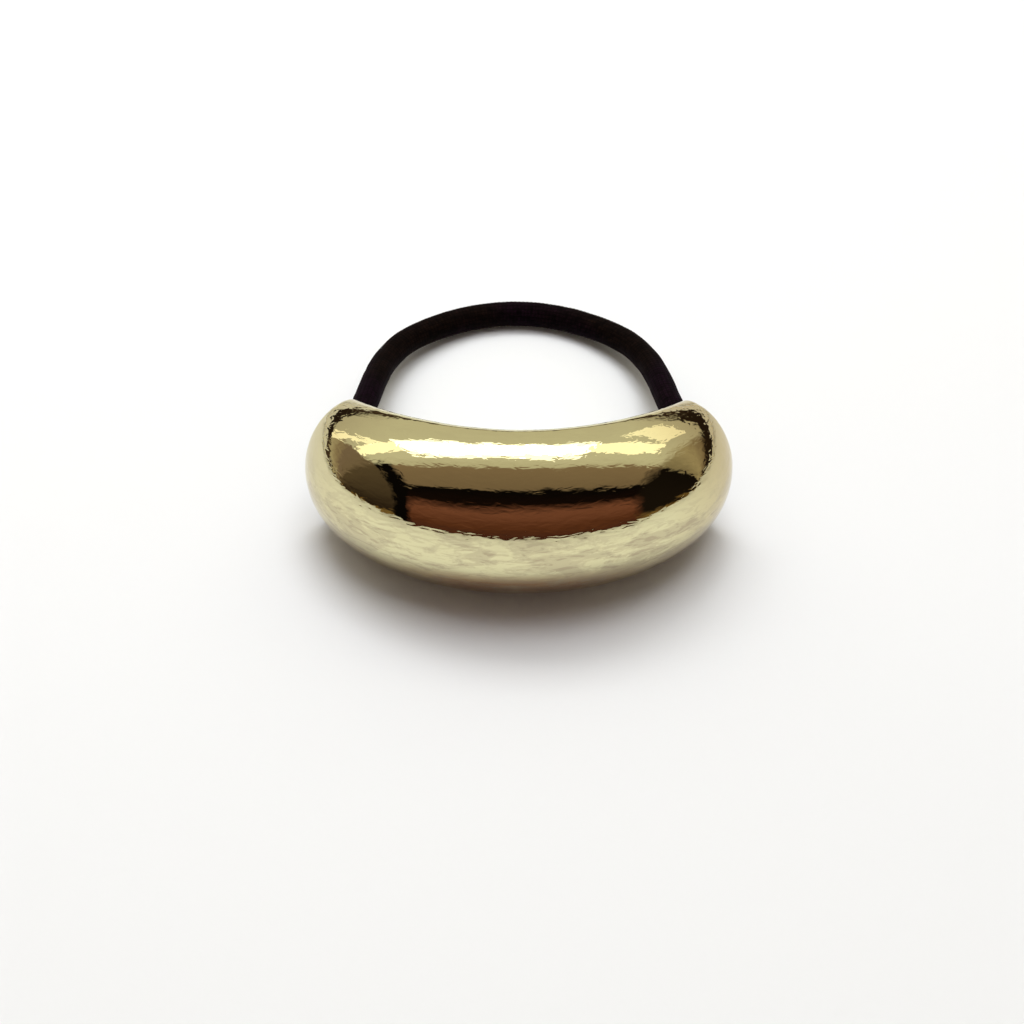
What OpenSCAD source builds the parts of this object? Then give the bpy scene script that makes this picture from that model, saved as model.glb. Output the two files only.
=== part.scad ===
// Ponytail cuff: a hollow, crescent-shaped metal shell with open ends and an elastic loop through it.
// Millimetres. X runs across the cuff, the bulging front faces -Y and the loop lies behind it, towards +Y.
// The shell lies as it does on a table: it leans back until its middle and both of its ends touch.

/* [Shell plan] */
// Radius of the arc that the middles of the sections lie on
arc_r = 29.5; // [24:0.5:40]
// Angle from the middle of the shell to each open end
arc_reach = 57.5; // [40:0.5:75]

/* [Shell sections] */
// Height of the shell at its middle
mid_height = 25; // [19:0.5:32]
// Height of the shell at each open end
end_height = 18.5; // [14:0.5:24]
// How far the front bulges out from the arc at the middle
mid_bulge = 11.8; // [8:0.2:16]
// How far the front bulges out from the arc at each end
end_bulge = 7.2; // [5:0.2:12]
// How far the back stands in from the arc at the middle
mid_back = 5; // [4:0.2:9]
// How far the back stands in from the arc at each end
end_back = 4.2; // [3.6:0.2:8]
// How late the height falls towards the ends: higher is later
height_hold = 2.6; // [1.5:0.1:5]
// How late the bulge falls towards the ends: higher is later
bulge_hold = 4.5; // [2:0.1:6]
// Thickness of the metal
wall = 1.2; // [0.8:0.1:1.6]

/* [Elastic] */
// Diameter of the elastic
elastic_d = 4; // [2.5:0.5:5]

/* [Hidden] */

// Facets: stations along the shell, points round each section, and sides of the elastic
stations = 32;
section_points = 36;
elastic_sides = 10;

// Share of the way from the middle (0) to an end (1) at station i
function share(i) = abs(2 * i / stations - 1);
// A size that holds its middle value and falls to its end value
function falling(mid, end, hold, s) = mid - (mid - end) * pow(s, hold);

// Point j of section i, with the surface moved in by inset: half an ellipse in front, half behind
function section_point(i, j, inset) =
    let (
        s = share(i),
        turn = arc_reach * (2 * i / stations - 1),
        around = 360 * j / section_points,
        half_height = falling(mid_height, end_height, height_hold, s) / 2 - inset,
        bulge = falling(mid_bulge, end_bulge, bulge_hold, s) - inset,
        back = falling(mid_back, end_back, height_hold, s) - inset,
        out = cos(around) * (cos(around) > 0 ? bulge : back),
        r = arc_r + out
    )
    [r * sin(turn), arc_r - r * cos(turn), half_height * sin(around)];

function shell_points(inset) =
    [for (i = [0 : stations], j = [0 : section_points - 1]) section_point(i, j, inset)];

// Lowest height of the outside from station a to station b, once the shell leans back by lean
function lowest(a, b, lean) =
    min([for (i = [a : b], j = [0 : section_points - 1])
        let (p = section_point(i, j, 0)) p.z * cos(lean) - p.y * sin(lean)]);

// Lean at which the ends come down to the level of the middle, halved in on between two leans
function rest_lean(low, high, steps) =
    let (lean = (low + high) / 2)
    steps == 0 ? lean
    : lowest(0, stations / 4, lean) < lowest(stations / 4, stations / 2, lean)
        ? rest_lean(low, lean, steps - 1)
        : rest_lean(lean, high, steps - 1);

lean = rest_lean(0, 40, 16);
lift = -lowest(0, stations / 2, lean);
// Front and back edges of the leaning shell, which is centred between them
leaning_y = [for (p = shell_points(0)) p.y * cos(lean) + p.z * sin(lean)];
centre_y = (min(leaning_y) + max(leaning_y)) / 2;

// Right half of the elastic's route, from inside the middle of the shell, out of the open end and
// round to the far side, where it lies on the table. The left half mirrors it.
HALF_ROUTE = [
    [0, -0.7, 12.1], [5, -0.3, 12], [10, 1, 11.8], [14.5, 3, 11.4], [18.6, 5, 11], [21.9, 7.7, 10.4],
    [24.1, 11, 9.8], [24.8, 14.8, 9], [24.4, 18.6, 8.2], [23.5, 22.6, 7.3], [22.7, 26.8, 6.5],
    [21.8, 31.8, 5.5], [20.3, 37.3, 4.3], [17.5, 42.3, 3.4], [12.9, 46.5, 2.6], [6.9, 49.6, 2.1],
    [0, 50.7, 2]
];
LAST = len(HALF_ROUTE) - 1;
ROUTE = concat(HALF_ROUTE, [for (i = [LAST - 1 : -1 : 1]) let (p = HALF_ROUTE[i]) [-p.x, p.y, p.z]]);

module cuff() {
    n = section_points;
    inner = (stations + 1) * n;
    outer_faces = [for (i = [0 : stations - 1], j = [0 : n - 1])
        let (k = (j + 1) % n) [i * n + j, i * n + k, (i + 1) * n + k, (i + 1) * n + j]];
    inner_faces = [for (f = outer_faces) [for (m = [3 : -1 : 0]) inner + f[m]]];
    first_rim = [for (j = [0 : n - 1]) let (k = (j + 1) % n) [inner + j, inner + k, k, j]];
    last = stations * n;
    last_rim = [for (f = first_rim) [for (m = [3 : -1 : 0]) f[m] + last]];
    color("#d8cf9c")
        translate([0, -centre_y, lift])
            rotate([-lean, 0, 0])
                polyhedron(
                    points = concat(shell_points(0), shell_points(wall)),
                    faces = concat(outer_faces, inner_faces, first_rim, last_rim),
                    convexity = 6
                );
}

// A ring of points round each point of the route, square to the way it runs there
module elastic_loop() {
    count = len(ROUTE);
    n = elastic_sides;
    points = [for (i = [0 : count - 1])
        let (
            ahead = ROUTE[(i + 1) % count] - ROUTE[(i + count - 1) % count],
            along = ahead / norm(ahead),
            across = cross(along, [0, 0, 1]),
            side = across / norm(across),
            up = cross(side, along)
        )
        for (j = [0 : n - 1])
            let (around = 360 * j / n) ROUTE[i] + elastic_d / 2 * (cos(around) * side + sin(around) * up)];
    faces = [for (i = [0 : count - 1], j = [0 : n - 1])
        let (a = i * n, b = (i + 1) % count * n, k = (j + 1) % n) [a + j, a + k, b + k, b + j]];
    color("#17100f") polyhedron(points = points, faces = faces, convexity = 4);
}

cuff();
elastic_loop();
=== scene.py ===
# %% [markdown]
# # A ponytail cuff: gold plating over a hollow shell, and a knitted black elastic
# This lesson dresses a CAD model of a ponytail cuff. The CAD model already has the right sizes and the
# right places, so nothing is fitted by eye: the script loads it and makes a finer piece for each of its two
# solids in the same metres.

# %% Load the imported model
import math

import bpy
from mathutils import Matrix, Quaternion, Vector


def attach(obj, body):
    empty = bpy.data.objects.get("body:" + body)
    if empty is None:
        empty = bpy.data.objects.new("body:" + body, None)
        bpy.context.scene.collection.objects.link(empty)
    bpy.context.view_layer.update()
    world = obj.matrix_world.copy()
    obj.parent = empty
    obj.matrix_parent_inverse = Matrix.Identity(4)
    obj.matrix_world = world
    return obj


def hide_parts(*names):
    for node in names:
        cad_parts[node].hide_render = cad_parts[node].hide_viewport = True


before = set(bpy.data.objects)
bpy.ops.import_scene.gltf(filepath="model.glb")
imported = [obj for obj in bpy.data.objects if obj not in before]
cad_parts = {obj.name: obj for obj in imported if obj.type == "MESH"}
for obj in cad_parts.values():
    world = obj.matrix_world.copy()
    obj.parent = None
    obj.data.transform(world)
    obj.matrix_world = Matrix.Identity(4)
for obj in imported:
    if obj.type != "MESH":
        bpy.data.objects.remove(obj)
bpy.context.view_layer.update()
print("CAD solids:", ", ".join(sorted(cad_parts)))

# %% [markdown]
# Two helpers serve the whole lesson. Colours are given as sRGB hex values, but Blender's sockets
# take linear light, so one function turns the one into the other. Node trees are built in the script, and a
# second function adds a node, sets what is on it and joins its inputs, so that each node takes one short
# statement. A Mix node keeps its sockets for all kinds of data, told apart by their numbers: its factor is
# input 0, two plain numbers are inputs 2 and 3 with output 0, two vectors are inputs 4 and 5 with output 1,
# and two colours are inputs 6 and 7 with output 2. A factor for each axis of the vectors is input 1.

# %% Helpers for colours and nodes
MM = 0.001


def linear(code):
    """Linear RGBA of an sRGB hex colour such as #d8cf9c."""
    channels = [int(code[i : i + 2], 16) / 255 for i in (1, 3, 5)]
    return (*[c / 12.92 if c <= 0.04045 else ((c + 0.055) / 1.055) ** 2.4 for c in channels], 1.0)


def add_node(tree, kind, inputs=None, **settings):
    """A new node of this kind. An input is a plain value, another node, or an output of another node."""
    node = tree.nodes.new(kind)
    for name, value in settings.items():
        setattr(node, name, value)
    for key, value in (inputs or {}).items():
        if isinstance(value, bpy.types.Node):
            value = value.outputs[0]
        if isinstance(value, bpy.types.NodeSocket):
            tree.links.new(value, node.inputs[key])
        else:
            node.inputs[key].default_value = value
    return node


print("the grey #808080 in linear light:", round(linear("#808080")[0], 3))


# %% [markdown]
# The camera comes first, because everything after it is judged through it. It looks down at the cuff from
# the front, at about the angle at which one looks at a thing on a table. Its distance sets how strongly the
# near bulge grows against the far loop, and the long lens then brings the cuff to the right size in the
# frame.

# %% Camera
# Where the CAD model puts the middle of the shell's arc, which the camera faces
SHELL_PLACE = Vector((0, -2.219 * MM, 12.45 * MM))
AZIMUTH = math.radians(-1.19)
ELEVATION = math.radians(46.53)
ROLL = math.radians(1.0)
DISTANCE = 0.3
FOCAL_LENGTH = 74.78
SHIFT_X = -0.0075
SHIFT_Y = -0.0051

camera = bpy.data.objects.new("camera", bpy.data.cameras.new("camera"))
bpy.context.scene.collection.objects.link(camera)
bpy.context.scene.camera = camera
flat = math.cos(ELEVATION)
toward = Vector((math.sin(AZIMUTH) * flat, -math.cos(AZIMUTH) * flat, math.sin(ELEVATION)))
camera.location = SHELL_PLACE + DISTANCE * toward
camera.rotation_mode = "QUATERNION"
camera.rotation_quaternion = (-toward).to_track_quat("-Z", "Y") @ Quaternion((0, 0, 1), ROLL)
camera.data.lens = FOCAL_LENGTH
camera.data.shift_x = SHIFT_X
camera.data.shift_y = SHIFT_Y
camera.data.clip_start = 0.01
camera.data.clip_end = 20
print("camera at, in mm:", [round(1000 * v) for v in camera.location])

# %% [markdown]
# The elastic is a ring of round rubber in a knitted sleeve, 4 mm thick. It runs through the hollow shell,
# comes out of both open ends and goes round behind, where it comes down to lie on the table. Its route is
# the same row of points as in the CAD model. A smooth closed curve through them gives the line that the
# sleeve follows. It starts where the elastic leaves the right-hand end of the shell.

# %% Route of the elastic
HALF_ROUTE = [
    (0, -0.7, 12.1), (5, -0.3, 12), (10, 1, 11.8), (14.5, 3, 11.4), (18.6, 5, 11), (21.9, 7.7, 10.4),
    (24.1, 11, 9.8), (24.8, 14.8, 9), (24.4, 18.6, 8.2), (23.5, 22.6, 7.3), (22.7, 26.8, 6.5),
    (21.8, 31.8, 5.5), (20.3, 37.3, 4.3), (17.5, 42.3, 3.4), (12.9, 46.5, 2.6), (6.9, 49.6, 2.1),
    (0, 50.7, 2),
]
# The point of the row at which the elastic leaves the right-hand end
MOUTH = 6
# Steps of the smooth curve between two points of the row
STEPS = 8

route = [Vector(p) * MM for p in HALF_ROUTE + [(-x, y, z) for x, y, z in HALF_ROUTE[-2:0:-1]]]
route = route[MOUTH:] + route[:MOUTH]


def smooth_ring(points, steps):
    """Points of a closed curve that passes through these points, with this many steps between two."""
    ring = []
    for i in range(len(points)):
        a, b, c, d = (points[(i + k) % len(points)] for k in (-1, 0, 1, 2))
        for t in (k / steps for k in range(steps)):
            bend = (2 * a - 5 * b + 4 * c - d) * t**2 + (3 * b - a - 3 * c + d) * t**3
            ring.append((2 * b + (c - a) * t + bend) / 2)
    return ring


centre_line = smooth_ring(route, STEPS)

# %% [markdown]
# The sleeve could be a smooth tube with a bump texture, but a close look would find its outline too clean.
# It is knitted instead: a Geometry Nodes tree sweeps a circle along the line and lifts the surface where
# the yarn is. A knitted tube has columns of V-shaped stitches, so the lift is a pair of ridges in each
# column, and their crests shift half a stitch from the middle of a column to its edge. Real stitches are
# about 0.6 mm long. A used sleeve is also a little thicker in some places than in others, so a slow noise
# swells it.

# %% Tree that knits a sleeve
RINGS_TO_A_STITCH = 4
SIDES_TO_A_COLUMN = 4
# Heights as shares of a full ridge: in the middle of a column, and between two crests
VALLEY = 0.62
TROUGH = 0.35


def new_tree(name, inputs):
    """A Geometry Nodes tree with named inputs, given as (name, kind of socket, value)."""
    tree = bpy.data.node_groups.new(name, "GeometryNodeTree")
    tree.interface.new_socket("Geometry", in_out="INPUT", socket_type="NodeSocketGeometry")
    for title, kind, value in inputs:
        socket = tree.interface.new_socket(title, in_out="INPUT", socket_type=kind)
        if value is not None:
            socket.default_value = value
    tree.interface.new_socket("Geometry", in_out="OUTPUT", socket_type="NodeSocketGeometry")
    return tree


def knitted_sleeve():
    tree = new_tree("knitted_sleeve", [
        ("Core radius", "NodeSocketFloat", 1.92 * MM),
        ("Yarn height", "NodeSocketFloat", 0.07 * MM),
        ("Columns", "NodeSocketInt", 20),
        ("Stitches", "NodeSocketInt", 264),
        ("Swelling", "NodeSocketFloat", 0.16 * MM),
        ("Swelling length", "NodeSocketFloat", 2.5 * MM),
        ("Seed", "NodeSocketFloat", 7.0),
        ("Yarn", "NodeSocketMaterial", None),
    ])
    given = add_node(tree, "NodeGroupInput").outputs
    line = add_node(tree, "GeometryNodeMeshToCurve", {"Mesh": given["Geometry"]})
    rings = add_node(tree, "ShaderNodeMath", {0: given["Stitches"], 1: RINGS_TO_A_STITCH},
                     operation="MULTIPLY")
    line = add_node(tree, "GeometryNodeResampleCurve", {"Curve": line, "Count": rings})
    # Line and hoop each keep how far along them a point lies, from 0 to 1, and the tube gets both
    share = add_node(tree, "GeometryNodeSplineParameter").outputs["Factor"]
    line = add_node(tree, "GeometryNodeStoreNamedAttribute",
                    {"Geometry": line, "Name": "along", "Value": share}, data_type="FLOAT", domain="POINT")
    line = add_node(tree, "GeometryNodeSetCurveNormal", {"Curve": line}, mode="Z_UP")
    sides = add_node(tree, "ShaderNodeMath", {0: given["Columns"], 1: SIDES_TO_A_COLUMN},
                     operation="MULTIPLY")
    hoop = add_node(tree, "GeometryNodeCurvePrimitiveCircle",
                    {"Resolution": sides, "Radius": given["Core radius"]})
    hoop = add_node(tree, "GeometryNodeStoreNamedAttribute",
                    {"Geometry": hoop, "Name": "round", "Value": share}, data_type="FLOAT", domain="POINT")
    tube = add_node(tree, "GeometryNodeCurveToMesh", {"Curve": line, "Profile Curve": hoop})
    along = add_node(tree, "GeometryNodeInputNamedAttribute", {"Name": "along"}, data_type="FLOAT")
    around = add_node(tree, "GeometryNodeInputNamedAttribute", {"Name": "round"}, data_type="FLOAT")
    column = add_node(tree, "ShaderNodeMath", {0: around, 1: given["Columns"]}, operation="MULTIPLY")
    # 0 in the middle of a column and 1 between two columns
    aside = add_node(tree, "ShaderNodeMath", {0: column, 1: 0.5}, operation="PINGPONG")
    aside = add_node(tree, "ShaderNodeMath", {0: aside, 1: 2.0}, operation="MULTIPLY")
    # Each half of a column is a ridge, with a shallow valley on its inner side and a deep one outside
    ridge = add_node(tree, "ShaderNodeMapRange",
                     {"Value": aside, "From Min": 1.0, "From Max": 0.5, "To Min": 0.0, "To Max": 1.0})
    valley = add_node(tree, "ShaderNodeMapRange",
                      {"Value": aside, "From Min": 0.0, "From Max": 0.5, "To Min": VALLEY, "To Max": 1.0})
    leg = add_node(tree, "ShaderNodeMath", {0: ridge, 1: valley}, operation="MINIMUM")
    # The crests of the stitches come half a stitch earlier at the edge of a column, which makes the V
    row = add_node(tree, "ShaderNodeMath", {0: along, 1: given["Stitches"]}, operation="MULTIPLY")
    slant = add_node(tree, "ShaderNodeMath", {0: aside, 1: 0.5, 2: row}, operation="MULTIPLY_ADD")
    turn = add_node(tree, "ShaderNodeMath", {0: slant, 1: math.tau}, operation="MULTIPLY")
    wave = add_node(tree, "ShaderNodeMath", {0: turn}, operation="COSINE")
    crest = add_node(tree, "ShaderNodeMapRange",
                     {"Value": wave, "From Min": -1.0, "From Max": 1.0, "To Min": TROUGH, "To Max": 1.0})
    height = add_node(tree, "ShaderNodeMath", {0: leg, 1: crest}, operation="MULTIPLY")
    tube = add_node(tree, "GeometryNodeStoreNamedAttribute",
                    {"Geometry": tube, "Name": "yarn", "Value": height}, data_type="FLOAT", domain="POINT")
    # A slow noise makes the sleeve a little thicker here and thinner there
    scale = add_node(tree, "ShaderNodeMath", {0: 1.0, 1: given["Swelling length"]}, operation="DIVIDE")
    noise = add_node(tree, "ShaderNodeTexNoise", {"W": given["Seed"], "Scale": scale, "Detail": 2.0},
                     noise_dimensions="4D")
    swing = add_node(tree, "ShaderNodeMath", {0: noise, 1: 0.5}, operation="SUBTRACT")
    swell = add_node(tree, "ShaderNodeMath", {0: swing, 1: given["Swelling"]}, operation="MULTIPLY")
    lift = add_node(tree, "ShaderNodeMath", {0: height, 1: given["Yarn height"], 2: swell},
                    operation="MULTIPLY_ADD")
    normal = add_node(tree, "GeometryNodeInputNormal")
    offset = add_node(tree, "ShaderNodeVectorMath", {0: normal, "Scale": lift}, operation="SCALE")
    tube = add_node(tree, "GeometryNodeSetPosition", {"Geometry": tube, "Offset": offset})
    tube = add_node(tree, "GeometryNodeSetShadeSmooth", {"Geometry": tube})
    tube = add_node(tree, "GeometryNodeRealizeInstances", {"Geometry": tube})
    tube = add_node(tree, "GeometryNodeSetMaterial", {"Geometry": tube, "Material": given["Yarn"]})
    add_node(tree, "NodeGroupOutput", {"Geometry": tube})
    return tree


sleeve_tree = knitted_sleeve()
print("the tree of the sleeve has", len(sleeve_tree.nodes), "nodes")


# %% [markdown]
# A tree needs a mesh to work on, and its result has to be made a plain mesh before it leaves the lesson.
# One function does both: it puts the tree on a start mesh, gives the tree's inputs their values by name,
# and turns the evaluated result into a mesh of its own.

# %% Run a tree on a start mesh
def grow(name, points, edges, faces, tree, values):
    """A plain mesh object, made by this tree from a start mesh of these points, edges and faces."""
    start = bpy.data.meshes.new(name + "_start")
    start.from_pydata(points, edges, faces)
    maker = bpy.data.objects.new(name + "_start", start)
    bpy.context.scene.collection.objects.link(maker)
    modifier = maker.modifiers.new("tree", "NODES")
    modifier.node_group = tree
    for item in tree.interface.items_tree:
        if item.item_type == "SOCKET" and item.in_out == "INPUT" and item.name in values:
            modifier[item.identifier] = values[item.name]
    grown = maker.evaluated_get(bpy.context.evaluated_depsgraph_get())
    piece = bpy.data.objects.new(name, bpy.data.meshes.new_from_object(grown))
    piece.data.name = name
    bpy.context.scene.collection.objects.link(piece)
    bpy.data.objects.remove(maker)
    piece.data.calc_loop_triangles()
    low = [round(1000 * min(v.co[k] for v in piece.data.vertices), 2) for k in range(3)]
    high = [round(1000 * max(v.co[k] for v in piece.data.vertices), 2) for k in range(3)]
    print(name, "has", len(piece.data.loop_triangles), "triangles and reaches in mm from", low, "to", high)
    return piece


# %% [markdown]
# The yarn is textured nylon, dyed black, knitted and slightly fluffed. It gives the eye almost no colour
# and no clear highlight: the base is nearly black, with a breath of plum that turns brown here and there
# where the dye has faded, the roughness is high, and a thin sheen stands for the loose fibre ends that
# catch light at grazing angles. Those ends gather in tufts about a millimetre across, which mottle the
# sleeve. Single nylon fibres are about 0.03 mm thick, too fine to show, so the fibre pattern is drawn at
# 0.12 mm.

# %% Material of the sleeve: knitted black nylon yarn
SHADE = "#020101"
PLUM = "#1f0b1d"
BROWN = "#1d110c"
SHEEN = "#c8a8bf"
FIBRE = 0.12 * MM
FIBRE_DEPTH = 0.02 * MM
TUFT = 0.9 * MM
FADED_PATCH = 14 * MM


def new_material(name):
    """An empty material with its output node and a Principled shader."""
    material = bpy.data.materials.new(name)
    material.use_nodes = True
    material.node_tree.nodes.clear()
    tree = material.node_tree
    shader = add_node(tree, "ShaderNodeBsdfPrincipled")
    add_node(tree, "ShaderNodeOutputMaterial", {"Surface": shader})
    return material, tree, shader


def black_nylon():
    material, tree, shader = new_material("knitted_black_nylon")
    place = add_node(tree, "ShaderNodeTexCoord").outputs["Object"]
    yarn = add_node(tree, "ShaderNodeAttribute", attribute_name="yarn").outputs["Fac"]
    fibres = add_node(tree, "ShaderNodeTexNoise",
                      {"Vector": place, "Scale": 1 / FIBRE, "Detail": 2.0, "Roughness": 0.6})
    tufts = add_node(tree, "ShaderNodeTexNoise",
                     {"Vector": place, "Scale": 1 / TUFT, "Detail": 3.0, "Roughness": 0.75})
    tufts = add_node(tree, "ShaderNodeMapRange",
                     {"Value": tufts, "From Min": 0.38, "From Max": 0.66, "To Min": 0.1, "To Max": 1.0})
    # Painted shade and sheen: the colour is near black in the valleys between yarn ridges and away from the
    # tufts, and lighter on ridges in the tufts, where fibre ends catch light
    lit = add_node(tree, "ShaderNodeMath", {0: yarn, 1: tufts}, operation="MULTIPLY")
    faded = add_node(tree, "ShaderNodeTexNoise", {"Vector": place, "Scale": 1 / FADED_PATCH, "Detail": 1.0})
    faded = add_node(tree, "ShaderNodeMapRange", {"Value": faded, "From Min": 0.42, "From Max": 0.58})
    dye = add_node(tree, "ShaderNodeMix", {0: faded, 6: linear(PLUM), 7: linear(BROWN)}, data_type="RGBA")
    tint = add_node(tree, "ShaderNodeMix", {0: lit, 6: linear(SHADE), 7: dye.outputs[2]}, data_type="RGBA")
    bump = add_node(tree, "ShaderNodeBump", {"Height": fibres, "Strength": 0.6, "Distance": FIBRE_DEPTH})
    rough = add_node(tree, "ShaderNodeMapRange", {"Value": fibres, "To Min": 0.72, "To Max": 0.95})
    tree.links.new(tint.outputs[2], shader.inputs["Base Color"])
    tree.links.new(rough.outputs[0], shader.inputs["Roughness"])
    tree.links.new(bump.outputs[0], shader.inputs["Normal"])
    shader.inputs["Specular IOR Level"].default_value = 0.04
    shader.inputs["Sheen Weight"].default_value = 0.04
    shader.inputs["Sheen Roughness"].default_value = 0.4
    shader.inputs["Sheen Tint"].default_value = linear(SHEEN)
    return material


black_yarn = black_nylon()
print("the yarn has", len(black_yarn.node_tree.nodes), "nodes")


# %% [markdown]
# Now the sleeve is knitted round the centre line.

ring_edges = [(i, (i + 1) % len(centre_line)) for i in range(len(centre_line))]
elastic = grow("elastic_sleeve", centre_line, ring_edges, [], sleeve_tree, {"Yarn": black_yarn})
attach(elastic, "root")
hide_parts("elastic_loop")

# %% [markdown]
# The cuff is one thin metal shell, shaped like a fat crescent. Every cross-section follows one rule: half
# an ellipse bulges out in front and a flatter half closes the back, and both shrink towards the open ends.
# A shape with such a rule suits Geometry Nodes. The start mesh is its flat pattern, as a tinsmith would cut
# it: one way runs along the shell, the other way runs round it, and the pattern turns over a rounded lip at
# each end into a second layer, the inside of the metal. The height of a pattern point is its depth below
# the outer surface.

# %% Flat pattern of the shell
REACH = math.radians(57.5)
WALL = 1.2 * MM
ARC_R = 29.5 * MM
OUTSIDE_ROWS = 270
LIP_ROWS = 8
INSIDE_ROWS = 90
ROUND_POINTS = 180


def shell_pattern():
    """Points (share of the way to an end, angle round the section, depth in the metal) and their faces."""
    skin_end = 1 - WALL / 2 / (ARC_R * REACH)
    outside = [(skin_end * (2 * k / OUTSIDE_ROWS - 1), 0) for k in range(OUTSIDE_ROWS + 1)]
    lip = [math.pi * k / LIP_ROWS for k in range(1, LIP_ROWS)]
    right = [(skin_end + (1 - skin_end) * math.sin(a), WALL / 2 * (1 - math.cos(a))) for a in lip]
    inside = [(skin_end * (1 - 2 * k / INSIDE_ROWS), WALL) for k in range(INSIDE_ROWS + 1)]
    left = [(-share, depth) for share, depth in reversed(right)]
    rows = outside + right + inside + left
    angles = [math.tau * j / ROUND_POINTS for j in range(ROUND_POINTS)]
    points = [(share, angle, depth) for share, depth in rows for angle in angles]
    faces = []
    for i in range(len(rows)):
        near, far = i * ROUND_POINTS, (i + 1) % len(rows) * ROUND_POINTS
        for j in range(ROUND_POINTS):
            k = (j + 1) % ROUND_POINTS
            faces.append((near + j, far + j, far + k, near + k))
    return points, faces


pattern_points, pattern_faces = shell_pattern()
print("pattern of the shell:", len(pattern_points), "points")

# %% [markdown]
# The tree bends the pattern round into the crescent, leans it back until it lies as it does on a table, and
# then works the metal. The plating of the real cuff lies over a finely wrinkled skin, and it mirrors so
# clearly that dents of a few hundredths of a millimetre show as wavy edges in the reflections. The wrinkles
# are a noise that is read along the straight, unbent shell and stretched that way, so that they run along
# the bent shell too. They grow towards the ends, where the skin had to follow the tightest curves.

# %% Tree that bends the pattern into the shell
# Half the height of a section, how far its front bulges, and how far its back stands in
MIDDLE_SECTION = (12.5 * MM, 11.8 * MM, 5 * MM)
END_SECTION = (9.25 * MM, 7.2 * MM, 4.2 * MM)
LEAN = math.radians(11.545)


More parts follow.
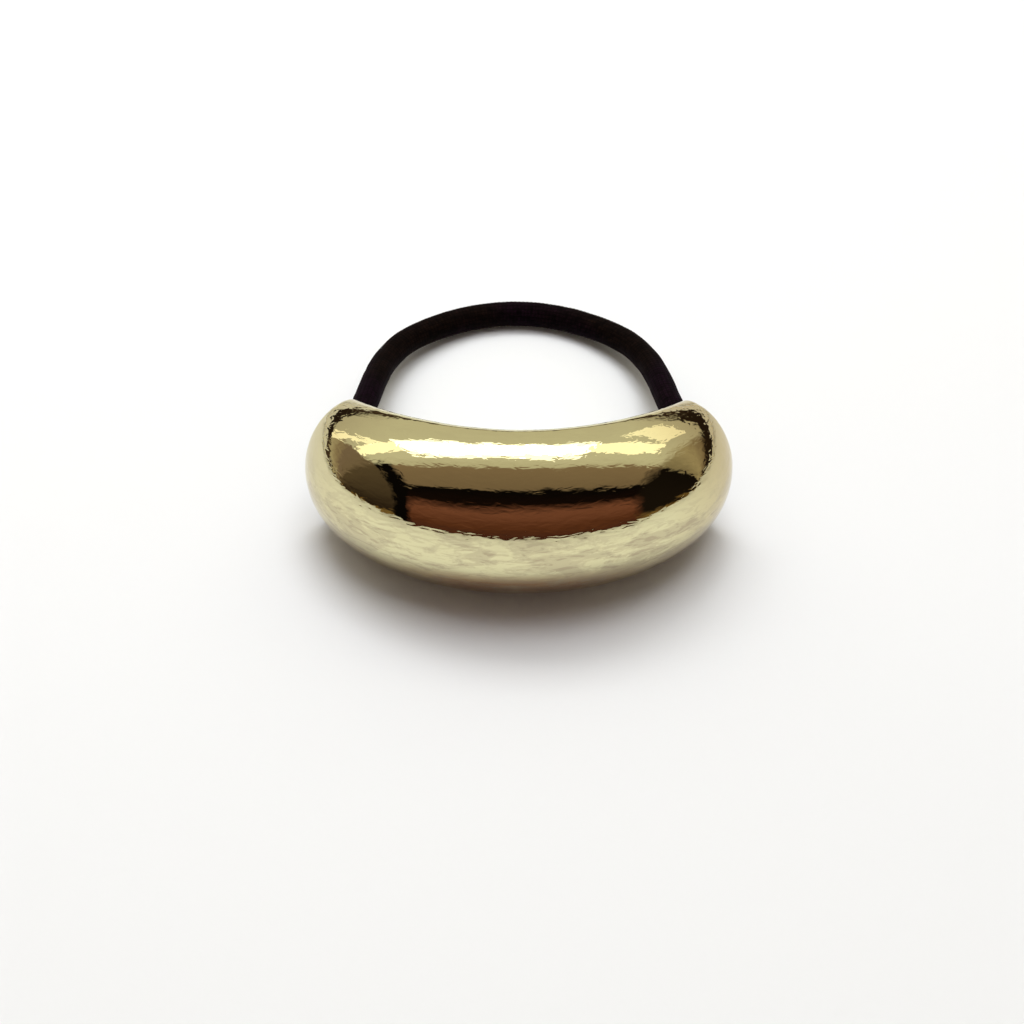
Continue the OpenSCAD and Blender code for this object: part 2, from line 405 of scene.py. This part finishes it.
def bent_shell():
    tree = new_tree("bent_shell", [
        ("Arc radius", "NodeSocketFloat", ARC_R),
        ("Reach", "NodeSocketFloat", REACH),
        ("Wall", "NodeSocketFloat", WALL),
        ("Middle section", "NodeSocketVector", MIDDLE_SECTION),
        ("End section", "NodeSocketVector", END_SECTION),
        ("Height hold", "NodeSocketFloat", 2.6),
        ("Bulge hold", "NodeSocketFloat", 4.5),
        ("Lean", "NodeSocketFloat", -LEAN),
        ("Place", "NodeSocketVector", SHELL_PLACE),
        ("Wrinkle depth", "NodeSocketFloat", 0.1 * MM),
        ("Wrinkle length", "NodeSocketFloat", 2.6 * MM),
        ("Wrinkle stretch", "NodeSocketFloat", 1.8),
        ("Wrinkle growth", "NodeSocketFloat", 1.3),
        ("Seed", "NodeSocketFloat", 4.0),
        ("Metal", "NodeSocketMaterial", None),
    ])
    given = add_node(tree, "NodeGroupInput").outputs
    pattern = add_node(tree, "GeometryNodeInputPosition")
    share, angle, depth = add_node(tree, "ShaderNodeSeparateXYZ", {0: pattern}).outputs
    # Height and back fall by one power of the way along, and the bulge by another
    away = add_node(tree, "ShaderNodeMath", {0: share}, operation="ABSOLUTE")
    low = add_node(tree, "ShaderNodeMath", {0: away, 1: given["Height hold"]}, operation="POWER")
    slim = add_node(tree, "ShaderNodeMath", {0: away, 1: given["Bulge hold"]}, operation="POWER")
    fall = add_node(tree, "ShaderNodeCombineXYZ", {0: low, 1: slim, 2: low})
    section = add_node(tree, "ShaderNodeMix", {1: fall, 4: given["Middle section"], 5: given["End section"]},
                       data_type="VECTOR", factor_mode="NON_UNIFORM")
    inset = add_node(tree, "ShaderNodeCombineXYZ", {0: depth, 1: depth, 2: depth})
    section = add_node(tree, "ShaderNodeVectorMath", {0: section.outputs[1], 1: inset}, operation="SUBTRACT")
    half_height, bulge, back = add_node(tree, "ShaderNodeSeparateXYZ", {0: section}).outputs
    # A point lies on the front half of its section where the cosine of its angle is above 0
    cosine = add_node(tree, "ShaderNodeMath", {0: angle}, operation="COSINE")
    sine = add_node(tree, "ShaderNodeMath", {0: angle}, operation="SINE")
    front = add_node(tree, "FunctionNodeCompare", {0: cosine, 1: 0.0}, operation="GREATER_THAN")
    swell = add_node(tree, "GeometryNodeSwitch", {0: front, 1: back, 2: bulge}, input_type="FLOAT")
    out = add_node(tree, "ShaderNodeMath", {0: cosine, 1: swell}, operation="MULTIPLY")
    up = add_node(tree, "ShaderNodeMath", {0: sine, 1: half_height}, operation="MULTIPLY")
    # The sections stand along the arc, and the whole then leans back and goes to its place
    turn = add_node(tree, "ShaderNodeMath", {0: share, 1: given["Reach"]}, operation="MULTIPLY")
    radius = add_node(tree, "ShaderNodeMath", {0: given["Arc radius"], 1: out}, operation="ADD")
    turn_sine = add_node(tree, "ShaderNodeMath", {0: turn}, operation="SINE")
    turn_cosine = add_node(tree, "ShaderNodeMath", {0: turn}, operation="COSINE")
    x = add_node(tree, "ShaderNodeMath", {0: radius, 1: turn_sine}, operation="MULTIPLY")
    y = add_node(tree, "ShaderNodeMath", {0: radius, 1: turn_cosine}, operation="MULTIPLY")
    y = add_node(tree, "ShaderNodeMath", {0: given["Arc radius"], 1: y}, operation="SUBTRACT")
    bent = add_node(tree, "ShaderNodeCombineXYZ", {0: x, 1: y, 2: up})
    leant = add_node(tree, "ShaderNodeVectorRotate", {"Vector": bent, "Angle": given["Lean"]},
                     rotation_type="X_AXIS")
    placed = add_node(tree, "ShaderNodeVectorMath", {0: leant, 1: given["Place"]}, operation="ADD")
    # Where the point would be if the shell were straight, kept for the wrinkles and the plating
    length = add_node(tree, "ShaderNodeMath", {0: turn, 1: given["Arc radius"]}, operation="MULTIPLY")
    straight = add_node(tree, "ShaderNodeCombineXYZ", {0: length, 1: out, 2: up})
    shell = add_node(tree, "GeometryNodeStoreNamedAttribute",
                     {"Geometry": given["Geometry"], "Name": "straight", "Value": straight},
                     data_type="FLOAT_VECTOR", domain="POINT")
    inner = add_node(tree, "ShaderNodeMath", {0: depth, 1: given["Wall"]}, operation="DIVIDE")
    shell = add_node(tree, "GeometryNodeStoreNamedAttribute",
                     {"Geometry": shell, "Name": "inner", "Value": inner}, data_type="FLOAT", domain="POINT")
    shell = add_node(tree, "GeometryNodeSetPosition", {"Geometry": shell, "Position": placed})
    # The wrinkles are read off the straight shell, squeezed along it, which stretches them that way
    kept = add_node(tree, "GeometryNodeInputNamedAttribute", {"Name": "straight"}, data_type="FLOAT_VECTOR")
    skin = add_node(tree, "GeometryNodeInputNamedAttribute", {"Name": "inner"}, data_type="FLOAT")
    squeeze = add_node(tree, "ShaderNodeMath", {0: 1.0, 1: given["Wrinkle stretch"]}, operation="DIVIDE")
    squeeze = add_node(tree, "ShaderNodeCombineXYZ", {0: squeeze, 1: 1.0, 2: 1.0})
    read = add_node(tree, "ShaderNodeVectorMath", {0: kept, 1: squeeze}, operation="MULTIPLY")
    scale = add_node(tree, "ShaderNodeMath", {0: 1.0, 1: given["Wrinkle length"]}, operation="DIVIDE")
    noise = add_node(tree, "ShaderNodeTexNoise",
                     {"Vector": read, "W": given["Seed"], "Scale": scale, "Detail": 2.0, "Roughness": 0.45},
                     noise_dimensions="4D")
    # The noise swings about 0.5, grows towards the ends, and fades where the lip turns into the inside
    swing = add_node(tree, "ShaderNodeMath", {0: noise, 1: 0.5}, operation="SUBTRACT")
    outer = add_node(tree, "ShaderNodeMath", {0: 1.0, 1: skin}, operation="SUBTRACT")
    grown = add_node(tree, "ShaderNodeMath", {0: low, 1: given["Wrinkle growth"], 2: 1.0},
                     operation="MULTIPLY_ADD")
    dent = add_node(tree, "ShaderNodeMath", {0: swing, 1: outer}, operation="MULTIPLY")
    dent = add_node(tree, "ShaderNodeMath", {0: dent, 1: grown}, operation="MULTIPLY")
    dent = add_node(tree, "ShaderNodeMath", {0: dent, 1: given["Wrinkle depth"]}, operation="MULTIPLY")
    normal = add_node(tree, "GeometryNodeInputNormal")
    offset = add_node(tree, "ShaderNodeVectorMath", {0: normal, "Scale": dent}, operation="SCALE")
    shell = add_node(tree, "GeometryNodeSetPosition", {"Geometry": shell, "Offset": offset})
    shell = add_node(tree, "GeometryNodeSetShadeSmooth", {"Geometry": shell})
    shell = add_node(tree, "GeometryNodeRealizeInstances", {"Geometry": shell})
    shell = add_node(tree, "GeometryNodeSetMaterial", {"Geometry": shell, "Material": given["Metal"]})
    add_node(tree, "NodeGroupOutput", {"Geometry": shell})
    return tree


shell_tree = bent_shell()
print("the tree of the shell has", len(shell_tree.nodes), "nodes")


# %% [markdown]
# The finish is a thin pale-gold electroplate over cast zinc alloy, polished but not quite level. Gold of
# such a light, slightly green tone gives the eye a clear, warm mirror: metallic is 1 and the roughness is
# low. A fine ripple, 0.7 mm long, breaks up the edges of what it mirrors, least on top in the middle.
# The colour also holds painted light. The ends are a little darker and redder, painted shade for the dimmer,
# warmer floor that they mirror. The low front holds a painted brown reflection of the shadow beneath it,
# uneven and strongest in the middle, and painted greyer patches a few millimetres across, with streaks of a
# millimetre in them, which stand for an uneven table mirrored there. Colour does nearly all of that, with a
# trace more roughness in the patches. Inside, the plating is thinner and duller.

# %% Material of the shell: pale gold plating
# Tones along the shell: the middle stops are the plating's colour, the darker end stops are painted shade
PLATING_TONES_WITH_END_SHADE = [(0.06, "#ccc29a"), (0.22, "#e1dbae"), (0.75, "#e1dbae"), (0.92, "#c3b48a")]
# Painted reflection of the shadow beneath the low front
PAINTED_LOW_SHADOW = "#9c6b43"
# Painted reflection of an uneven table, in greyer patches
PAINTED_TABLE_PATCHES = "#b5a88a"
INSIDE = "#b09a68"
HALF_LENGTH = 30 * MM
PATCH = 3.2 * MM
STREAK = 1 * MM
RIPPLE = 0.7 * MM
RIPPLE_DEPTH = 0.06 * MM


def paint_ramp(ramp, stops):
    """Gives a colour ramp node these stops, as (place, colour)."""
    elements = ramp.color_ramp.elements
    for index, (place, code) in enumerate(stops):
        element = elements[index] if index < 2 else elements.new(place)
        element.position = place
        element.color = linear(code)


def gold_plating():
    material, tree, shader = new_material("pale_gold_plating")
    straight = add_node(tree, "ShaderNodeAttribute", attribute_name="straight").outputs["Vector"]
    inner = add_node(tree, "ShaderNodeAttribute", attribute_name="inner").outputs["Fac"]
    far, out, up = add_node(tree, "ShaderNodeSeparateXYZ", {0: straight}).outputs
    # Mask of the painted patches: strongest low in front, with a tenth left on top and a third at the back
    low = add_node(tree, "ShaderNodeMapRange",
                   {"Value": up, "From Min": 5 * MM, "From Max": 1 * MM, "To Min": 0.1, "To Max": 1.0})
    front = add_node(tree, "ShaderNodeMapRange",
                     {"Value": out, "From Min": -3 * MM, "From Max": 1 * MM, "To Min": 0.35, "To Max": 1.0})
    patch_mask = add_node(tree, "ShaderNodeMath", {0: low, 1: front}, operation="MULTIPLY")
    # Painted reflection of an uneven table: patches drawn out along the shell, and streaks, both in that
    # mask
    along = add_node(tree, "ShaderNodeMapping", {"Vector": straight, "Scale": (0.5, 1, 1)})
    patches = add_node(tree, "ShaderNodeTexNoise",
                       {"Vector": along, "Scale": 1 / PATCH, "Detail": 5.0, "Roughness": 0.66,
                        "Distortion": 0.6})
    patches = add_node(tree, "ShaderNodeMapRange",
                       {"Value": patches, "From Min": 0.53, "From Max": 0.45, "To Min": 0.0, "To Max": 0.5})
    streaky = add_node(tree, "ShaderNodeMapping", {"Vector": straight, "Scale": (0.4, 1, 1.3)})
    specks = add_node(tree, "ShaderNodeTexNoise",
                      {"Vector": streaky, "Scale": 1 / STREAK, "Detail": 3.0, "Roughness": 0.62,
                       "Distortion": 1.0})
    streaks = add_node(tree, "ShaderNodeMapRange",
                      {"Value": specks, "From Min": 0.5, "From Max": 0.4, "To Min": 0.0, "To Max": 0.42})
    painted_patches = add_node(tree, "ShaderNodeMath", {0: patches, 1: streaks}, operation="ADD")
    painted_patches = add_node(tree, "ShaderNodeMath", {0: painted_patches, 1: patch_mask}, operation="MULTIPLY")
    # Tone along the shell: the plating's colour in the middle, and painted shade darker and redder at the
    # ends
    length = add_node(tree, "ShaderNodeMapRange",
                      {"Value": far, "From Min": -HALF_LENGTH, "From Max": HALF_LENGTH})
    tone_with_end_shade = add_node(tree, "ShaderNodeValToRGB", {"Fac": length})
    paint_ramp(tone_with_end_shade, PLATING_TONES_WITH_END_SHADE)
    # Painted shadow reflection on the low front: uneven, most in the middle, and less again near the table
    painted_low_shadow = add_node(tree, "ShaderNodeMapRange",
                      {"Value": up, "From Min": -3.4 * MM, "From Max": -5.8 * MM})
    painted_low_shadow = add_node(tree, "ShaderNodeMath", {0: painted_low_shadow, 1: front}, operation="MULTIPLY")
    beside = add_node(tree, "ShaderNodeMath", {0: far}, operation="ABSOLUTE")
    middle = add_node(tree, "ShaderNodeMapRange",
                      {"Value": beside, "From Min": 6 * MM, "From Max": 14 * MM, "To Min": 1.0,
                       "To Max": 0.35})
    painted_low_shadow = add_node(tree, "ShaderNodeMath", {0: painted_low_shadow, 1: middle}, operation="MULTIPLY")
    uneven = add_node(tree, "ShaderNodeMapRange",
                      {"Value": specks, "From Min": 0.35, "From Max": 0.6, "To Min": 1.0, "To Max": 0.75})
    painted_low_shadow = add_node(tree, "ShaderNodeMath", {0: painted_low_shadow, 1: uneven}, operation="MULTIPLY")
    beneath = add_node(tree, "ShaderNodeMapRange",
                       {"Value": up, "From Min": -9.5 * MM, "From Max": -11.5 * MM, "To Min": 1.0,
                        "To Max": 0.35})
    painted_low_shadow = add_node(tree, "ShaderNodeMath", {0: painted_low_shadow, 1: beneath}, operation="MULTIPLY")
    tone = add_node(tree, "ShaderNodeMix", {0: painted_low_shadow, 6: tone_with_end_shade, 7: linear(PAINTED_LOW_SHADOW)}, data_type="RGBA")
    tone = add_node(tree, "ShaderNodeMix", {0: painted_patches, 6: tone.outputs[2], 7: linear(PAINTED_TABLE_PATCHES)},
                    data_type="RGBA")
    tone = add_node(tree, "ShaderNodeMix", {0: inner, 6: tone.outputs[2], 7: linear(INSIDE)},
                    data_type="RGBA")
    rough = add_node(tree, "ShaderNodeMapRange", {"Value": painted_patches, "To Min": 0.02, "To Max": 0.06})
    rough = add_node(tree, "ShaderNodeMix", {0: inner, 2: rough, 3: 0.3})
    # The ripple is weakest on top in the middle, and grows downwards and towards the ends
    ripple = add_node(tree, "ShaderNodeTexNoise",
                      {"Vector": along, "Scale": 1 / RIPPLE, "Detail": 1.5, "Roughness": 0.5,
                       "Distortion": 0.5})
    calm = add_node(tree, "ShaderNodeMapRange",
                    {"Value": up, "From Min": -1 * MM, "From Max": 6 * MM, "To Min": 0.75, "To Max": 0.4})
    crinkled = add_node(tree, "ShaderNodeMapRange",
                        {"Value": beside, "From Min": 14 * MM, "From Max": 26 * MM, "To Min": 0.4,
                         "To Max": 0.8})
    strength = add_node(tree, "ShaderNodeMath", {0: calm, 1: crinkled}, operation="MAXIMUM")
    bump = add_node(tree, "ShaderNodeBump",
                    {"Height": ripple, "Strength": strength, "Distance": RIPPLE_DEPTH})
    tree.links.new(tone.outputs[2], shader.inputs["Base Color"])
    tree.links.new(rough.outputs[0], shader.inputs["Roughness"])
    tree.links.new(bump.outputs[0], shader.inputs["Normal"])
    shader.inputs["Metallic"].default_value = 1.0
    return material


plating = gold_plating()
print("the plating has", len(plating.node_tree.nodes), "nodes")


# %% [markdown]
# With its tree and its plating ready, the shell is bent from the pattern. It stands for the plainer solid
# of the CAD model, which stays only for collisions, hidden.

# %% Bend the shell and put it in the place of its solid
cuff = grow("cuff_shell", pattern_points, [], pattern_faces, shell_tree, {"Metal": plating})
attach(cuff, "root")
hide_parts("cuff")

# %% [markdown]
# A mirror-bright piece shows its surroundings more than itself, so the studio is part of the look. The
# floor is a wide sheet of matt white paper, which the lower half of the cuff mirrors as a broad pale band.

# %% Floor
FLOOR_R = 4.0
PAPER = "#e4e8ee"


def pale_floor():
    bpy.ops.mesh.primitive_circle_add(vertices=96, radius=FLOOR_R, fill_type="TRIFAN", location=(0, 0, 0))
    floor = bpy.context.object
    floor.name = "floor"
    material, tree, shader = new_material("matt_white_paper")
    shader.inputs["Base Color"].default_value = linear(PAPER)
    shader.inputs["Roughness"].default_value = 0.9
    shader.inputs["Specular IOR Level"].default_value = 0.2
    floor.data.materials.append(material)
    return floor


pale_floor()
print("the floor is", 2 * FLOOR_R, "m wide")

# %% [markdown]
# Above the floor, the cuff mirrors the room. On the camera's side the studio is dark, and that gives the
# brown and black bands across the front of the bulge. Its ceiling is pale, and a dark gap between the far
# wall and the ceiling draws a thin line round the top. The room is painted on the world by two numbers for
# each direction: over runs from the horizon on the camera's side (0) over the top to the horizon behind the
# cuff (1), and side from the left (-1) to the right (1). The middle of the room, the panel at its left and
# the panel at its right have bands of their own, and a dark post stands beside the left panel.

# %% Room round the object
MIDDLE_BANDS = [
    (0.000, "#4a2a22"),
    (0.060, "#5c3322"),
    (0.170, "#7a4a3a"),
    (0.240, "#160c09"),
    (0.330, "#0b0807"),
    (0.350, "#7d6956"),
    (0.510, "#8a745f"),
    (0.525, "#c9c2ae"),
    (0.580, "#d6d0bd"),
    (0.780, "#d2ccb9"),
    (0.915, "#cfc8b4"),
    (0.925, "#3f3024"),
    (0.955, "#4f3e30"),
    (0.965, "#f0ede4"),
    (1.000, "#f0ede4"),
]
LEFT_BANDS = [
    (0.000, "#8a6e42"),
    (0.030, "#6a5233"),
    (0.050, "#2a1f18"),
    (0.200, "#43362a"),
    (0.500, "#5a4b3b"),
    (0.580, "#7d6b5a"),
    (0.740, "#857264"),
    (0.800, "#9c8a72"),
    (0.895, "#c0b498"),
    (0.908, "#3f3024"),
    (0.955, "#4f3e30"),
    (0.965, "#f0ede4"),
]
RIGHT_BANDS = [
    (0.000, "#8a6e42"),
    (0.040, "#6a5233"),
    (0.070, "#1c1511"),
    (0.490, "#15100c"),
    (0.520, "#8a7c64"),
    (0.700, "#b3a486"),
    (0.840, "#8f7d66"),
    (0.880, "#33271f"),
    (0.945, "#2c2119"),
    (0.960, "#f0ede4"),
]
POST = "#0b0807"
GAP = "#2c2119"


def studio_room():
    world = bpy.data.worlds.new("studio_room")
    bpy.context.scene.world = world
    world.use_nodes = True
    world.node_tree.nodes.clear()
    tree = world.node_tree
    look = add_node(tree, "ShaderNodeTexCoord").outputs["Generated"]
    side, deep, high = add_node(tree, "ShaderNodeSeparateXYZ", {0: look}).outputs
    ahead = add_node(tree, "ShaderNodeMath", {0: deep, 1: -1.0}, operation="MULTIPLY")
    # Past the edge of the floor, the room goes on as it is at the horizon
    high = add_node(tree, "ShaderNodeMath", {0: high, 1: 0.0}, operation="MAXIMUM")
    over = add_node(tree, "ShaderNodeMath", {0: high, 1: ahead}, operation="ARCTAN2")
    over = add_node(tree, "ShaderNodeMath", {0: over, 1: math.pi}, operation="DIVIDE")
    ramps = []
    for bands in (MIDDLE_BANDS, LEFT_BANDS, RIGHT_BANDS):
        ramps.append(add_node(tree, "ShaderNodeValToRGB", {"Fac": over}))
        paint_ramp(ramps[-1], bands)
    # Each edge in the room is a short ramp between two values of side or of over
    at_right = add_node(tree, "ShaderNodeMapRange", {"Value": side, "From Min": 0.72, "From Max": 0.8})
    room = add_node(tree, "ShaderNodeMix", {0: at_right, 6: ramps[0], 7: ramps[2]}, data_type="RGBA")
    # The gap is wider at both sides of the room, and a little more so at the right
    aside = add_node(tree, "ShaderNodeMath", {0: side}, operation="ABSOLUTE")
    aside = add_node(tree, "ShaderNodeMapRange", {"Value": aside, "From Min": 0.2, "From Max": 0.4})
    tilted = add_node(tree, "ShaderNodeMath", {0: side, 1: 0.02, 2: over}, operation="MULTIPLY_ADD")
    above = add_node(tree, "ShaderNodeMapRange", {"Value": tilted, "From Min": 0.89, "From Max": 0.905})
    below = add_node(tree, "ShaderNodeMapRange", {"Value": over, "From Min": 0.96, "From Max": 0.955})
    at_gap = add_node(tree, "ShaderNodeMath", {0: above, 1: below}, operation="MULTIPLY")
    at_gap = add_node(tree, "ShaderNodeMath", {0: at_gap, 1: aside}, operation="MULTIPLY")
    room = add_node(tree, "ShaderNodeMix", {0: at_gap, 6: room.outputs[2], 7: linear(GAP)}, data_type="RGBA")
    at_post = add_node(tree, "ShaderNodeMapRange", {"Value": side, "From Min": -0.67, "From Max": -0.71})
    short = add_node(tree, "ShaderNodeMapRange", {"Value": over, "From Min": 0.56, "From Max": 0.52})
    at_post = add_node(tree, "ShaderNodeMath", {0: at_post, 1: short}, operation="MULTIPLY")
    room = add_node(tree, "ShaderNodeMix", {0: at_post, 6: room.outputs[2], 7: linear(POST)},
                    data_type="RGBA")
    at_left = add_node(tree, "ShaderNodeMapRange", {"Value": side, "From Min": -0.77, "From Max": -0.8})
    room = add_node(tree, "ShaderNodeMix", {0: at_left, 6: room.outputs[2], 7: ramps[1]}, data_type="RGBA")
    light = add_node(tree, "ShaderNodeBackground", {"Color": room.outputs[2], "Strength": 1.0})
    add_node(tree, "ShaderNodeOutputWorld", {"Surface": light})
    print("the room is painted with", len(tree.nodes), "nodes")


studio_room()

# %% [markdown]
# Soft boxes light the scene. Three of them stand one before the other, behind the cuff and above it, and
# draw the white band along the top of the bulge: it is brightest in the middle, where all three add up, and
# only the longest reaches its two ends. A card at the right and a tall reflector at the left carry it on
# round the ends. The key light and the overhead light do the rest of the lighting. They are hidden from
# reflections, which is done in a studio by standing them where no reflected ray goes. The key light hangs a
# little behind the cuff, so the soft shadow falls forwards and the lowest edge of the cuff mirrors it.

# %% Soft boxes
WARM = "#fff6dc"


def soft_box(name, place, aim, wide, tall, watts, tone="#ffffff"):
    """A rectangular soft light at place, in metres, that faces aim."""
    lamp = bpy.data.lights.new(name, "AREA")
    lamp.shape = "RECTANGLE"
    lamp.size = wide
    lamp.size_y = tall
    lamp.energy = watts
    lamp.color = linear(tone)[:3]
    box = bpy.data.objects.new(name, lamp)
    bpy.context.scene.collection.objects.link(box)
    box.location = place
    box.rotation_euler = (Vector(aim) - Vector(place)).to_track_quat("-Z", "Y").to_euler()
    print(name, "has a brightness of", round(watts / (math.pi * wide * tall), 2))
    return box


soft_box("window", (-0.075, 0.232, 0.452), (-0.075, 0, 0.01), 0.43, 0.22, 0.4)
soft_box("strip", (-0.07, 0.227, 0.44), (-0.07, 0, 0.01), 0.32, 0.14, 0.55)
soft_box("wings", (-0.1, 0.24, 0.46), (-0.1, 0, 0.01), 1.08, 0.13, 0.42, WARM)
soft_box("card", (0.29, 0.4, 0.34), (0, 0, 0.01), 0.2, 0.14, 0.06, WARM)
soft_box("reflector", (-0.415, 0.317, 0.25), (0, 0, 0.01), 0.07, 0.3, 0.055, WARM)
for unseen in (
    soft_box("key", (0.1, 0.14, 1.4), (0, 0, 0), 0.9, 0.9, 9.6),
    soft_box("overhead", (0, 0, 1.6), (0, 0, 0), 2 * FLOOR_R, 2 * FLOOR_R, 23.9),
):
    unseen.visible_glossy = False

# %% [markdown]
# Colours are shown as they are, without a film curve, so that the plating and the floor come out as picked.

# %% View transform
bpy.context.scene.view_settings.view_transform = "Standard"
bpy.context.scene.view_settings.look = "None"
print("view transform:", bpy.context.scene.view_settings.view_transform)
